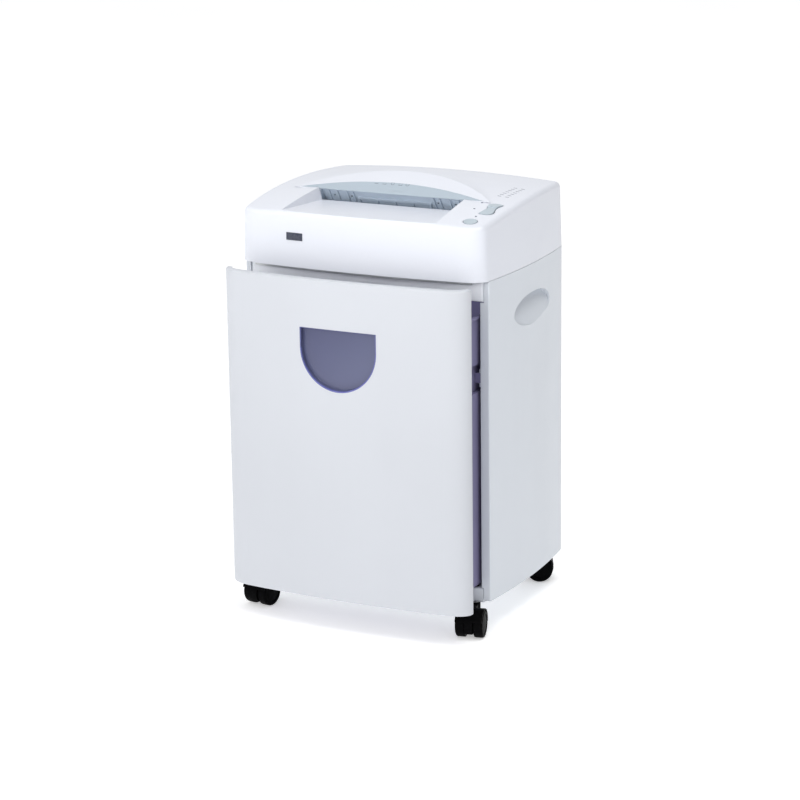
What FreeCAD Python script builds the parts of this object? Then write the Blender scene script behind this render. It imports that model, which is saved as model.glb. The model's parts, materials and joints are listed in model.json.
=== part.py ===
import FreeCAD, Part
import math
import os

V = FreeCAD.Vector

# Paper shredder: rounded cabinet on four swivel castors, pull-out waste drawer, cutting head on top.
# Millimetres, +Z up, front faces -Y. Origin: on the floor, under the middle of the box the machine
# fills with the drawer standing ajar.

# ---------------------------------------------------------------- driving dimensions
HALF_FRONT = 197.5        # half width at the front edge of the side panels
HALF_MID = 199.7          # half width half way back (the sides bow out)
HALF_REAR = 184.0         # half width at the back line, before the corner
DEPTH = 281.0             # side panel depth
BOW = 31.4                # how far the front stands out in front of the side panels
BOW_R = 1653.0            # radius of the front bow
X_CORNER = 160.0          # where the front bow runs into the corner
REAR_R = 15.0             # rear corner radius
SKIN = 2.8                # moulded wall
Z_CAB = 50.0              # underside of the cabinet
Z_SEAM = 521.8            # seam between cabinet and head
CROWN_Z = 627.0           # highest point of the head's crowned top
CROWN_Y = 190.0
CROWN_RY = 1017.0
CROWN_RX = 2438.0
DRAFT = 3.5 / 120.0       # head side draft
EDGE_R = 8.0              # rounding of the head's top edge
AJAR = 54.6               # drawer stands this far out
TRAVEL_OUT = 135.0        # and may travel this much further

FEED_HALF = 115.0         # half width of the feed opening
LEDGE_FRONT_Z = 602.2
LEDGE_BACK_Z = 600.4
LIP_Y = 84.0              # rear edge of the paper ledge
NIP_Y = 102.0             # plane in which the sheet enters the cutters
SHAFT_Z = 545.0
SHAFT_GAP = 37.0          # distance between the two cutter axes
DISC_R = 20.4
CORE_R = 12.5
DISC_T = 2.2
DISC_PITCH = 4.6
DISCS = 50

WIN_HALF = 60.0           # D-shaped window in the drawer front
WIN_TOP = 449.0
WIN_MID = 421.0
WIN_FLOOR = -23.4         # floor of the pocket, 8 mm behind the middle of the bow

BIN_HALF = 178.0
BIN_Z0, BIN_Z1 = 70.0, 470.0
BIN_Y0, BIN_Y1 = -3.0, 235.0

WHEEL_R = 20.0
TRAIL = 27.5
STEM_R = 4.0
# stem x, stem y, swing of the wheels (degrees, direction from the stem to the axle)
CASTORS = {
    "fl": (-169.0, 7.2, -98.0),
    "fr": (169.0, 7.2, -76.0),
    "rl": (-127.0, 253.0, 165.0),
    "rr": (127.0, 253.0, 27.0),
}

Y_ORIGIN = 104.0          # shift that brings the origin under the middle of the box

os.makedirs("parts", exist_ok=True)


# ---------------------------------------------------------------- helpers
def box(x0, x1, y0, y1, z0, z1):
    return Part.makeBox(x1 - x0, y1 - y0, z1 - z0, V(x0, y0, z0))


def cyl_z(r, x, y, z0, z1):
    return Part.makeCylinder(r, z1 - z0, V(x, y, z0), V(0, 0, 1))


def cyl_y(r, x, z, y0, y1):
    return Part.makeCylinder(r, y1 - y0, V(x, y0, z), V(0, 1, 0))


def cyl_x(r, y, z, x0, x1):
    return Part.makeCylinder(r, x1 - x0, V(x0, y, z), V(1, 0, 0))


def fuse(shapes):
    out = shapes[0].multiFuse(shapes[1:]) if len(shapes) > 1 else shapes[0]
    return out.removeSplitter()


def mirror(shape):
    return shape.mirror(V(0, 0, 0), V(1, 0, 0))


def soften(shape, radius, pick):
    """Round the edges picked by the test; a smaller radius is tried where the full one will not close."""
    for k in (1.0, 0.8, 0.6, 0.4, 0.25):
        edges = [e for e in shape.Edges if pick(e)]
        if not edges:
            return shape
        try:
            out = shape.makeFillet(radius * k, edges)
            if out.isValid() and out.Volume > 0.5 * shape.Volume:
                return out
        except Exception:
            pass
    print("edge rounding left out", radius)
    return shape


def write(name, shape):
    s = shape.copy()
    s.translate(V(0, -Y_ORIGIN, 0))
    if s.ShapeType == "Compound" and len(s.Solids) == 1:
        s = s.Solids[0]
    if not s.isValid():
        print("not valid:", name)
    s.exportStep("parts/" + name + ".step")


def group(shapes):
    return Part.makeCompound(shapes)


def circle_through(a, b, c):
    ax, ay, bx, by, cx, cy = a[0], a[1], b[0], b[1], c[0], c[1]
    d = 2 * (ax * (by - cy) + bx * (cy - ay) + cx * (ay - by))
    ux = ((ax * ax + ay * ay) * (by - cy) + (bx * bx + by * by) * (cy - ay)
          + (cx * cx + cy * cy) * (ay - by)) / d
    uy = ((ax * ax + ay * ay) * (cx - bx) + (bx * bx + by * by) * (ax - cx)
          + (cx * cx + cy * cy) * (bx - ax)) / d
    return ux, uy, math.hypot(ax - ux, ay - uy)


SIDE_CX, SIDE_CY, SIDE_R = circle_through((HALF_FRONT, 0), (HALF_MID, DEPTH / 2), (HALF_REAR, DEPTH))


def side_x(y, inset=0.0):
    return SIDE_CX + math.sqrt((SIDE_R - inset) ** 2 - (y - SIDE_CY) ** 2)


def bow_y(x, inset=0.0):
    return -BOW + BOW_R - math.sqrt((BOW_R - inset) ** 2 - x * x)


def outline(inset, z):
    """Closed plan outline of the machine, moved inwards by the inset."""
    b = V(X_CORNER, bow_y(X_CORNER, inset), z)
    bt = V(1, X_CORNER / BOW_R, 0)
    bt.normalize()
    a = V(side_x(0, inset), 0, z)
    at = V(-(0 - SIDE_CY), (a.x - SIDE_CX), 0)
    at.normalize()
    if at.y > 0:
        at = at * -1
    k1, k2 = 22.0 - 0.55 * inset, 13.0 - 0.55 * inset
    corner = Part.BezierCurve()
    corner.setPoles([b, b + bt * k1, a + at * k2, a])
    cy = DEPTH - REAR_R
    cx = SIDE_CX + math.sqrt((SIDE_R - REAR_R) ** 2 - (cy - SIDE_CY) ** 2)
    d = V(cx - SIDE_CX, cy - SIDE_CY, 0)
    d.normalize()
    r = REAR_R - inset
    t1 = V(cx + d.x * r, cy + d.y * r, z)
    t2 = V(cx, DEPTH - inset, z)
    m = d + V(0, 1, 0)
    m.normalize()
    tm = V(cx + m.x * r, cy + m.y * r, z)
    ym = t1.y / 2
    half = [corner.toShape(),
            Part.Arc(a, V(side_x(ym, inset), ym, z), t1).toShape(),
            Part.Arc(t1, tm, t2).toShape()]
    back = Part.makeLine(t2, V(-t2.x, t2.y, z))
    front = Part.Arc(V(-b.x, b.y, z), V(0, bow_y(0, inset), z), b).toShape()
    left = [mirror(e) for e in reversed(half)]
    edges = [front] + half + [back] + left
    return Part.Wire(Part.__sortEdges__(edges))


def prism(inset, z0, z1):
    return Part.Face(outline(inset, z0)).extrude(V(0, 0, z1 - z0))


def drafted(inset, z0, z1):
    i0 = inset + (z0 - Z_SEAM) * DRAFT
    i1 = inset + (z1 - Z_SEAM) * DRAFT
    return Part.makeLoft([outline(i0, z0), outline(i1, z1)], True, True)


def top_z(x, y):
    apex = CROWN_Z - CROWN_RY + math.sqrt(CROWN_RY ** 2 - (y - CROWN_Y) ** 2)
    r = apex - (CROWN_Z - CROWN_RX)
    return CROWN_Z - CROWN_RX + math.sqrt(r * r - x * x)


def crown(drop):
    """Solid under the crowned top surface, lowered by the drop."""
    def z(y):
        return CROWN_Z - CROWN_RY + math.sqrt((CROWN_RY - drop) ** 2 - (y - CROWN_Y) ** 2)
    y0, ym, y1 = -60.0, 120.0, 300.0
    zb = 400.0
    arc = Part.Arc(V(0, y0, z(y0)), V(0, ym, z(ym)), V(0, y1, z(y1))).toShape()
    wire = Part.Wire([Part.makeLine(V(0, y0, zb), V(0, y0, z(y0))), arc,
                      Part.makeLine(V(0, y1, z(y1)), V(0, y1, zb)),
                      Part.makeLine(V(0, y1, zb), V(0, y0, zb))])
    face = Part.Face(wire)
    pivot = V(0, 0, CROWN_Z - CROWN_RX)
    face.rotate(pivot, V(0, 1, 0), -7)
    return face.revolve(pivot, V(0, 1, 0), 14)


def surface_frame(x, y, lift=0.0):
    """Placement whose origin lies on the top surface and whose Z is the surface normal."""
    e = 0.5
    n = V(-(top_z(x + e, y) - top_z(x - e, y)), -(top_z(x, y + e) - top_z(x, y - e)), 2 * e)
    n.normalize()
    p = FreeCAD.Placement(V(x, y, top_z(x, y)), FreeCAD.Rotation(V(0, 0, 1), n))
    p.Base = p.Base + n * lift
    return p


def placed(shape, placement):
    s = shape.copy()
    s.Placement = placement.multiply(s.Placement)
    return s


def along_x(shape, y, z, x0):
    """A shape made in the XY plane about Z is turned to run along X: local x -> Y, y -> Z, z -> X."""
    s = shape.copy()
    s.Placement = FreeCAD.Placement(V(x0, y, z), FreeCAD.Rotation(V(1, 1, 1), 120))
    return s


def polygon(points, height):
    pts = [V(p[0], p[1], 0) for p in points]
    return Part.Face(Part.makePolygon(pts + [pts[0]])).extrude(V(0, 0, height))


def gear(teeth, module, width, phase):
    """Involute spur gear about Z, one tooth centred on the phase angle (degrees), small backlash."""
    rp = teeth * module / 2
    ra, rf = rp + module * 0.95, rp - module * 1.2
    alpha = math.radians(20)
    rb = rp * math.cos(alpha)
    inv_a = math.tan(alpha) - alpha
    half_p = math.pi / (2 * teeth) - 0.06 / rp
    lo = max(rb, rf)
    flank = []
    for i in range(5):
        r = lo + (ra - lo) * i / 4.0
        c = min(1.0, rb / r)
        t = math.acos(c)
        flank.append((r, half_p + inv_a - (math.tan(t) - t)))
    if rf < lo:
        flank.insert(0, (rf, flank[0][1] + 0.02))
    pts = []
    for k in range(teeth):
        a = math.radians(phase) + 2 * math.pi * k / teeth
        for r, h in flank:
            pts.append((r * math.cos(a - h), r * math.sin(a - h)))
        for r, h in reversed(flank):
            pts.append((r * math.cos(a + h), r * math.sin(a + h)))
    return polygon(pts, width)


# ---------------------------------------------------------------- cabinet
GRIP_Y, GRIP_Z, GRIP_L, GRIP_H, GRIP_DEEP = 142.0, 456.5, 66.5, 23.7, 18.0


def grip_tool(grow):
    """Scoop: an oval, deep at its top and running out flush at its bottom."""
    c = V(160.0, GRIP_Y, GRIP_Z)
    rim = Part.Ellipse(c + V(0, GRIP_L + grow, 0), c + V(0, 0, GRIP_H + grow), c)
    oval = Part.Face(Part.Wire(rim.toShape())).extrude(V(60, 0, 0))
    xs = side_x(GRIP_Y)
    zl, zh = GRIP_Z - GRIP_H, GRIP_Z + GRIP_H
    slope = GRIP_DEEP / (zh - zl)
    a, b = zl - 10, zh + 20
    pts = [V(xs + slope * (zl - a) - grow, 40, a), V(260, 40, a), V(260, 40, b),
           V(xs - slope * (b - zl) - grow, 40, b)]
    wedge = Part.Face(Part.makePolygon(pts + [pts[0]])).extrude(V(0, 200, 0))
    return oval.common(wedge)


RAIL_Z0, RAIL_Z1 = 490.7, 521.0
SCREW_X, SCREW_Z = 148.5, (90, 285, 480)
HEAD_SCREWS = [(-185, 30), (185, 30), (-150, 248), (150, 248)]


def side_panel_right():
    z0, z1 = Z_CAB, 521.3
    skin = prism(0, z0, z1).cut(prism(SKIN, z0 - 1, z1 + 1))
    skin = skin.common(box(156, 230, 0, DEPTH + 1, z0, z1))
    # front return lip, narrower beside the top rail and the base bar
    block = prism(0.2, z0, z1).common(box(183.5, 230, 0, SKIN, z0, z1))
    block = block.cut(box(183, 189, -1, 5, RAIL_Z0 - 0.8, z1 + 1))
    block = block.cut(box(183, 187, -1, 5, z0 - 1, 69))
    # turned-in edge behind the back panel and top flange that carries the head
    rear = box(141, 158, DEPTH - 2 * SKIN, DEPTH - SKIN, z0, z1)
    ring = prism(1.0, z1 - 2.5, z1).cut(prism(14.0, z1 - 3, z1 + 1))
    ring = ring.common(box(156, 230, 16, DEPTH, z1 - 3, z1))
    ribs = []
    for y in (60, 115, 172, 225):
        xo = side_x(y, 1.0)
        ribs.append(box(xo - 4.6, xo, y, y + 2.2, z0 + 16, 350))
    s = fuse([skin, block, rear, ring] + ribs)
    cup = grip_tool(2.4).common(prism(0.5, 400, 500))
    s = fuse([s, cup])
    s = s.cut(grip_tool(0.0))
    for z in SCREW_Z:
        s = s.cut(cyl_y(2.0, SCREW_X, z, DEPTH - 12, DEPTH - SKIN))
    for x, y in HEAD_SCREWS:
        if x > 0:
            s = s.cut(cyl_z(4.5, x, y, 515, 522))
    s = soften(s, 2.0, lambda e: e.BoundBox.ZLength > 300 and e.BoundBox.YMax < 0.5
               and e.BoundBox.XMin > 195)
    s = soften(s, 1.6, lambda e: (e.BoundBox.XMin > 193 and e.BoundBox.YMin > GRIP_Y - GRIP_L - 2
               and e.BoundBox.YMax < GRIP_Y + GRIP_L + 2 and e.BoundBox.ZMin > GRIP_Z + 0.5
               and e.BoundBox.ZMax < GRIP_Z + GRIP_H + 2 and e.BoundBox.ZLength < 30))
    return s


side_r = side_panel_right()
write("side_panel_right", side_r)
write("side_panel_left", mirror(side_r))


def back_panel():
    s = box(-156, 156, DEPTH - SKIN, DEPTH, Z_CAB, 521.3)
    ribs = [box(x - 1.2, x + 1.2, DEPTH - SKIN - 2, DEPTH - SKIN, Z_CAB + 20, 500) for x in (-100, -33, 33, 100)]
    flange = box(-140, 140, DEPTH - 16, DEPTH - SKIN, 518.8, 521.3)
    s = fuse([s, flange] + ribs)
    for x in (-SCREW_X, SCREW_X):
        for z in SCREW_Z:
            s = s.cut(cyl_y(2.1, x, z, DEPTH - 10, DEPTH + 1))
    return s


screw_spots = [(x, z) for x in (-SCREW_X, SCREW_X) for z in SCREW_Z]
write("back_panel", back_panel())


def base_tray():
    plate = prism(SKIN, 50, 53).common(box(-230, 230, 14, 300, 50, 53))
    wall = prism(SKIN, 50, 64).cut(prism(SKIN + 2.5, 49, 65)).common(box(-230, 230, 14, 300, 49, 65))
    bar = box(-186, 186, 0.5, 15, 46, 68)
    bar = soften(bar, 2.0, lambda e: e.BoundBox.YMax < 1)
    bar = bar.cut(box(-150, 150, 4, 16, 45, 65.5))
    parts = [plate, wall, bar]
    for x in (-120, -60, 0, 60, 120):
        parts.append(box(x - 1.2, x + 1.2, 14, DEPTH - SKIN - 2.6, 53, 55.5))
    for name, (x, y, a) in CASTORS.items():
        if y > 50:
            parts.append(cyl_z(11.0, x, y, 50, 68))
    s = fuse(parts)
    # the turned-in edges of the side panels pass the tray at the back
    for sx in (-1, 1):
        x0, x1 = sorted((sx * 140.5, sx * 158.5))
        s = s.cut(box(x0, x1, DEPTH - 2 * SKIN - 0.1, DEPTH, 49, 70))
    for name, (x, y, a) in CASTORS.items():
        s = s.cut(cyl_z(5.6, x, y, 40, 80))
    return s


write("base_tray", base_tray())


def front_top_rail():
    face = box(-188, 188, 0.5, 15, RAIL_Z0, 520.8)
    face = soften(face, 3.0, lambda e: (e.BoundBox.YMax < 1 and e.BoundBox.ZLength < 0.1
                  and e.BoundBox.ZMax < RAIL_Z0 + 1) or (e.BoundBox.YMax < 1 and e.BoundBox.ZLength > 20))
    face = face.cut(box(-200, 200, 3.1, 16, RAIL_Z0 - 1, 518.2).cut(box(-200, 200, 3.0, 5.6, RAIL_Z0 - 2, RAIL_Z0 + 2.4)))
    tabs = [box(sx * 188 - 5, sx * 188 + 5, 2.9, 5.5, 494, 517) for sx in (-1, 1)]
    return fuse([face] + tabs)


write("front_top_rail", front_top_rail())

# ---------------------------------------------------------------- cutting head
def head_base():
    s = prism(3.1, 521.3, 524.3)
    s = s.common(box(-230, 230, -26, 290, 521, 525))
    rim = prism(3.1, 524.3, 532).cut(prism(5.6, 524, 533))
    # folded lip behind the bowed front edge, hidden in the drawer front when it is closed
    lip = prism(11.0, 516.3, 521.8).cut(prism(12.2, 516, 522)).common(box(-176, 176, -60, -6, 516, 522))
    s = fuse([s, rim.common(box(-230, 230, 0, 290, 524, 533)), lip])
    s = s.cut(box(-FEED_HALF - 3, FEED_HALF + 3, NIP_Y - 44, NIP_Y + 44, 520, 526))
    for x, y in HEAD_SCREWS:
        s = s.cut(cyl_z(2.0, x, y, 520, 526))
    for y in (170, 190, 210):
        s = s.cut(box(-95, 40, y, y + 5, 520, 526))
    return s


write("head_base", head_base())


def recess(grow, lower, y_end):
    """Paper recess: flared funnel between side walls, floor nearly level, open to the front."""
    ya, yb = -60.0, y_end
    za = LEDGE_FRONT_Z - lower + 0.4
    zb = LEDGE_BACK_Z - lower
    def wire(t):
        h = t * 40.0
        xa, xb = 128.5 + grow + t * 10, 114.6 + grow + t * 9
        return Part.makePolygon([V(-xa, ya, za + h), V(xa, ya, za + h), V(xb, yb, zb + h),
                                 V(-xb, yb, zb + h), V(-xa, ya, za + h)])
    return Part.makeLoft([wire(0), wire(1)], True, True)


BUTTON = (167.0, 3.5)
ROCKER = (172.9, 58.2)
LAMPS = [(148.6, 78.6), (150.3, 50.7), (166.0, 23.6)]
INLET_X, INLET_Z = 112.0, 551.0

head_outer = drafted(0, Z_SEAM, Z_SEAM + 120).common(crown(0))
head_outer = soften(head_outer, EDGE_R, lambda e: e.BoundBox.ZMin > 585)
head_inner = drafted(SKIN, Z_SEAM - 2, Z_SEAM + 120).common(crown(SKIN))
head_inner = soften(head_inner, EDGE_R - SKIN, lambda e: e.BoundBox.ZMin > 580)
recess_void = recess(0, 0, 86.5)


def head_cover():
    wall = recess(SKIN, SKIN, LIP_Y)
    s = head_outer.cut(head_inner.cut(wall)).cut(recess_void)
    bosses = []
    for x, y in HEAD_SCREWS:
        b = cyl_z(4.2, x, y, 524.3, 640).cut(cyl_z(1.4, x, y, 520, 545)).common(head_outer)
        bosses.append(b)
    s = s.fuse(bosses)
    # button and rocker openings, lamp holes
    s = s.cut(placed(cyl_z(10.7, 0, 0, -12, 12), surface_frame(*BUTTON)))
    s = s.cut(placed(rocker_plan(0.9, -12, 12), surface_frame(*ROCKER)))
    for x, y in LAMPS:
        s = s.cut(placed(cyl_z(1.6, 0, 0, -12, 12), surface_frame(x, y)))
    # rear vents and the opening for the power inlet
    for row in (0, 1):
        for i in range(11):
            x = -110 + i * 11
            s = s.cut(box(x, x + 4, DEPTH - 12, DEPTH + 5, 545 + row * 30, 567 + row * 30))
    s = s.cut(box(INLET_X - 13.9, INLET_X + 13.9, DEPTH - 12, DEPTH + 5, INLET_Z - 10, INLET_Z + 10))
    return s


def rocker_plan(grow, z0, z1):
    """S-shaped key outline, the same when turned by half a turn, moved outwards by grow."""
    half = [(-8.6, -21.3), (-7.0, -14.0), (-5.9, -6.0), (-7.2, 3.0), (-10.1, 11.5), (-9.6, 18.6),
            (-4.5, 23.2), (2.5, 23.9)]
    pts = half + [(-x, -y) for x, y in half]
    out = []
    for i, (x, y) in enumerate(pts):
        xa, ya = pts[i - 1]
        xb, yb = pts[(i + 1) % len(pts)]
        ln = math.hypot(xb - xa, yb - ya)
        out.append(V(x - grow * (yb - ya) / ln, y + grow * (xb - xa) / ln, z0))
    curve = Part.BSplineCurve()
    curve.interpolate(out, PeriodicFlag=True)
    return Part.Face(Part.Wire(curve.toShape())).extrude(V(0, 0, z1 - z0))


cover = head_cover()
write("head_cover", cover)

# hood over the feed opening: arched canopy with a straight lower edge and a bowed crest
HOOD_Y = 81.0
HOOD_TILT = math.radians(11.7)
FASCIA_TILT = 0.809
FASCIA_Y, FASCIA_Z = 81.2, 617.4


ARCH_R = 1185.0


def hood_block(t):
    n = V(0, -math.sin(HOOD_TILT), math.cos(HOOD_TILT))
    d = V(0, math.cos(HOOD_TILT), math.sin(HOOD_TILT))
    arch_r = ARCH_R
    top = V(0, 98.5, 631.4)
    base = top - n * arch_r - d * 150
    arch = Part.makeCylinder(arch_r - t, 400, base, d)
    rear = Part.makeCone(237.3 - t, 231.3 - t, 60, V(0, -88.3, 590), V(0, 0, 1))
    front = box(-200, 200, HOOD_Y + t, 400, 616.8, 660)
    z0 = FASCIA_Z - t * 1.29
    pts = [V(-200, 60, z0 + (60 - FASCIA_Y) * FASCIA_TILT), V(-200, 200, z0 + (200 - FASCIA_Y) * FASCIA_TILT),
           V(-200, 200, 560), V(-200, 60, 560)]
    below = Part.Face(Part.makePolygon(pts + [pts[0]])).extrude(V(400, 0, 0))
    return front.common(below).common(rear).common(arch)


def hood_and_fascia():
    floor = head_outer.cut(recess_void)
    shell = hood_block(0).cut(hood_block(2.4).cut(box(-200, 200, 0, 87.5, 600, 700)))
    shell = shell.cut(floor)
    # grey fascia let into the sloping front
    ya, yb = FASCIA_Y + 0.7, 200.0
    pts = [V(-200, ya, FASCIA_Z + (ya - FASCIA_Y) * FASCIA_TILT - 1.4), V(-200, ya, 640),
           V(-200, yb, 760), V(-200, yb, FASCIA_Z + (yb - FASCIA_Y) * FASCIA_TILT - 1.4)]
    slab = Part.Face(Part.makePolygon(pts + [pts[0]])).extrude(V(400, 0, 0))
    n = V(0, -math.sin(HOOD_TILT), math.cos(HOOD_TILT))
    d = V(0, math.cos(HOOD_TILT), math.sin(HOOD_TILT))
    arch = Part.makeCylinder(ARCH_R - 0.4, 400, V(0, 98.5, 631.4) - n * ARCH_R - d * 150, d)
    fascia = hood_block(0).common(slab).common(arch).cut(floor)
    shell = shell.cut(fascia)
    if len(shell.Solids) > 1:
        shell = sorted(shell.Solids, key=lambda q: -q.Volume)[0]
    if len(fascia.Solids) > 1:
        fascia = sorted(fascia.Solids, key=lambda q: -q.Volume)[0]
    return shell, fascia


hood, fascia = hood_and_fascia()
write("feed_hood", hood)
write("hood_fascia", fascia)


GUIDE_TOP, GUIDE_KNEE, GUIDE_FOOT = (88.4, 616.6), (106.5, 588.0), (106.5, 567.6)


def throat_rear_guide():
    """Ribbed rear wall of the paper throat: leans back going down, then runs straight to the cutters."""
    (ya, za), (yb, zb) = GUIDE_TOP, GUIDE_KNEE
    ln = math.hypot(yb - ya, zb - za)
    ny, nz = (zb - za) / ln, -(yb - ya) / ln

    def strip(t0, t1, x0, x1, s0=0.0, s1=1.0):
        """Slab on the leaning wall, from t0 to t1 in front of it, between fractions s0 and s1 of its length."""
        def p(s, t):
            return V(x0, ya + (yb - ya) * s + ny * t, za + (zb - za) * s + nz * t)
        pts = [p(s0, t0), p(s1, t0), p(s1, t1), p(s0, t1)]
        return Part.Face(Part.makePolygon(pts + [pts[0]])).extrude(V(x1 - x0, 0, 0))

    half = FEED_HALF + 2
    foot = box(-half, half, yb, yb + 2.0, GUIDE_FOOT[1], zb + 0.6)
    s = [strip(-2.0, 0.0, -half, half), foot]
    for x in (-106, -92, -76, -66, 66, 76, 92, 106):
        s.append(strip(-0.5, 2.2, x - 0.9, x + 0.9, 0.05, 0.8))
    s.append(strip(-0.5, 2.0, -60, 60, 0.33, 0.46))
    for x in (-58, -29, 0, 29, 58):
        s.append(strip(-0.5, 2.6, x - 1.0, x + 1.0, 0.40, 0.8))
    for sx in (-1, 1):
        s.append(box(*sorted((sx * (half - 0.5), sx * 124.0)), 104, 114, 570, 573))
    s.append(box(-half, half, yb + 1.5, yb + 6.0, 570, 572))
    side = [V(half, 84.2, 598.5), V(half, 84.2, 616.4), V(half, 91.5, 616.4), V(half, yb + 2.0, zb + 1.5),
            V(half, yb + 2.0, 575), V(half, 97.0, 575), V(half, 97.0, 587.0)]
    side = Part.Face(Part.makePolygon(side + [side[0]])).extrude(V(1.8, 0, 0))
    out = fuse(s + [side, mirror(side)]).common(crown(SKIN + 0.15))
    for x in (-99.0, -71.0, 71.0, 99.0):
        out = out.cut(cyl_y(1.5, x, 607, 80, 110))
    return out


def throat_front_guide():
    """Front wall of the throat, from the ledge's lip down to the cutters."""
    half = FEED_HALF + 2
    pts = [V(-half, 84.1, 600.0), V(-half, 86.0, 599.4), V(-half, 97.6, 587.0), V(-half, 97.6, 567.6),
           V(-half, 95.6, 567.6), V(-half, 95.6, 586.2), V(-half, 84.1, 597.4)]
    s = Part.Face(Part.makePolygon(pts + [pts[0]])).extrude(V(2 * half, 0, 0))
    lugs = [box(*sorted((sx * (half - 0.5), sx * 124.0)), 88, 96.5, 570, 573) for sx in (-1, 1)]
    bar = box(-half, half, 90, 96, 570, 572)
    return fuse([s, bar] + lugs)


write("throat_rear_guide", throat_rear_guide())
write("throat_front_guide", throat_front_guide())


# ---- operating parts on the head
def power_button():
    s = cyl_z(9.8, 0, 0, -6.0, 0.9)
    s = soften(s, 1.0, lambda e: e.BoundBox.ZMin > 0.5)
    dish = Part.makeSphere(42.0, V(0, 0, 42.0 - 0.5))
    s = s.cut(dish)
    s = s.fuse(cyl_z(12.5, 0, 0, -6.4, -4.6)).fuse(cyl_z(2.5, 0, 0, -9.0, -6.0)).removeSplitter()
    return placed(s, surface_frame(*BUTTON))


def function_rocker():
    s = rocker_plan(0, -5.5, 2.2)
    # saddle: pressed ends are scooped a little lower than the middle
    scoop = cyl_x(140, 0, 142.0 - 1.2, -40, 40)
    s = s.common(cyl_x(200, 0, -200 + 1.9, -40, 40)).cut(scoop.common(box(-20, 20, -7, 7, 0.9, 3)))
    s = soften(s, 0.8, lambda e: e.BoundBox.ZMin > -1.0)
    foot = cyl_x(2.2, 0, -6.0, -4.5, 4.5)
    legs = [box(-2, 2, y - 1.2, y + 1.2, -8.2, -5.0) for y in (-13, 13)]
    s = fuse([s, foot] + legs)
    return placed(s, surface_frame(*ROCKER))


write("power_button", power_button())
write("function_rocker", function_rocker())
write("indicator_lenses", group([placed(cyl_z(1.55, 0, 0, -4.0, 0.25), surface_frame(x, y)) for x, y in LAMPS]))


def control_board():
    fr = surface_frame(164.0, 42.0)
    b = box(-14, 14, -50, 52, -15.6, -14.0)
    parts = [b]
    parts.append(cyl_z(3.2, 3, -38.9, -14.2, -12.0))       # push switch
    for y in (3.0, 29.0):
        parts.append(cyl_z(3.0, 8.9, y, -14.2, -10.3))     # switches under the rocker
    parts.append(box(-13, -6, -20, -8, -14.2, -11.0))
    parts.append(box(-12, -4, -2, 8, -14.2, -12.5))
    parts.append(box(-12, -2, 40, 50, -20.0, -15.0))
    return placed(fuse(parts), fr)


write("control_board", control_board())


def badge():
    ring = drafted(-0.7, Z_SEAM, Z_SEAM + 70).cut(drafted(0, Z_SEAM - 1, Z_SEAM + 71))
    return ring.common(box(-113, -86, -60, 0, 561, 572))


write("badge", badge())


def power_inlet():
    y = DEPTH - 0.0 - (INLET_Z - Z_SEAM) * DRAFT
    body = box(INLET_X - 13.7, INLET_X + 13.7, y - 22, y + 1.0, INLET_Z - 9.8, INLET_Z + 9.8)
    flange = box(INLET_X - 15.5, INLET_X + 15.5, y + 0.38, y + 2.2, INLET_Z - 12, INLET_Z + 12)
    flange = soften(flange, 2.0, lambda e: e.BoundBox.YLength > 1.5)
    s = fuse([body, flange])
    well = box(INLET_X - 11.8, INLET_X + 11.8, y - 16, y + 3, INLET_Z - 7.8, INLET_Z + 7.8)
    well = well.cut(box(INLET_X - 12, INLET_X - 7, y - 17, y + 4, INLET_Z + 3, INLET_Z + 9)
                    .cut(cyl_y(6, INLET_X - 6, INLET_Z + 2, y - 17, y + 4)))
    s = s.cut(well)
    pins = [box(INLET_X + dx - 1.0, INLET_X + dx + 1.0, y - 18, y - 2, INLET_Z + dz - 2, INLET_Z + dz + 2)
            for dx, dz in ((-7, -2), (0, 2.2), (7, -2))]
    tabs = [box(INLET_X + dx - 0.4, INLET_X + dx + 0.4, y - 30, y - 21, INLET_Z + dz - 2.4, INLET_Z + dz + 2.4)
            for dx, dz in ((-7, -2), (0, 2.2), (7, -2))]
    return fuse([s] + pins + tabs)


write("power_inlet", power_inlet())

# ---------------------------------------------------------------- cutting mechanism
YA, YB = NIP_Y - SHAFT_GAP / 2, NIP_Y + SHAFT_GAP / 2
PLATE_X0, PLATE_X1 = 124.0, 127.0
MOTOR_Y, MOTOR_Z, MOTOR_R = 181.3, 560.2, 30.0
M1, Z_PIN, Z_BIG = 1.25, 12, 56
M2, Z_SMALL, Z_CUT = 1.85, 12, 20


def deg(a):
    return math.degrees(a)


small_dist = M2 * (Z_SMALL + Z_CUT) / 2
RG_ANG = math.radians(50.0)
RG_Y, RG_Z = YB + small_dist * math.cos(RG_ANG), SHAFT_Z + small_dist * math.sin(RG_ANG)
big_dist = M1 * (Z_PIN + Z_BIG) / 2
MP_ANG = math.atan2(MOTOR_Z - RG_Z, MOTOR_Y - RG_Y)
MOTOR_Y, MOTOR_Z = RG_Y + big_dist * math.cos(MP_ANG), RG_Z + big_dist * math.sin(MP_ANG)


def mate_phase(phase_a, teeth_a, direction, teeth_b):
    """Phase of gear b so that it meshes with gear a; direction (degrees) runs from a to b."""
    pitch = 360.0 / teeth_a
    delta = (direction - phase_a) % pitch
    return direction + 180.0 + delta * teeth_a / teeth_b + 180.0 / teeth_b


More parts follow.
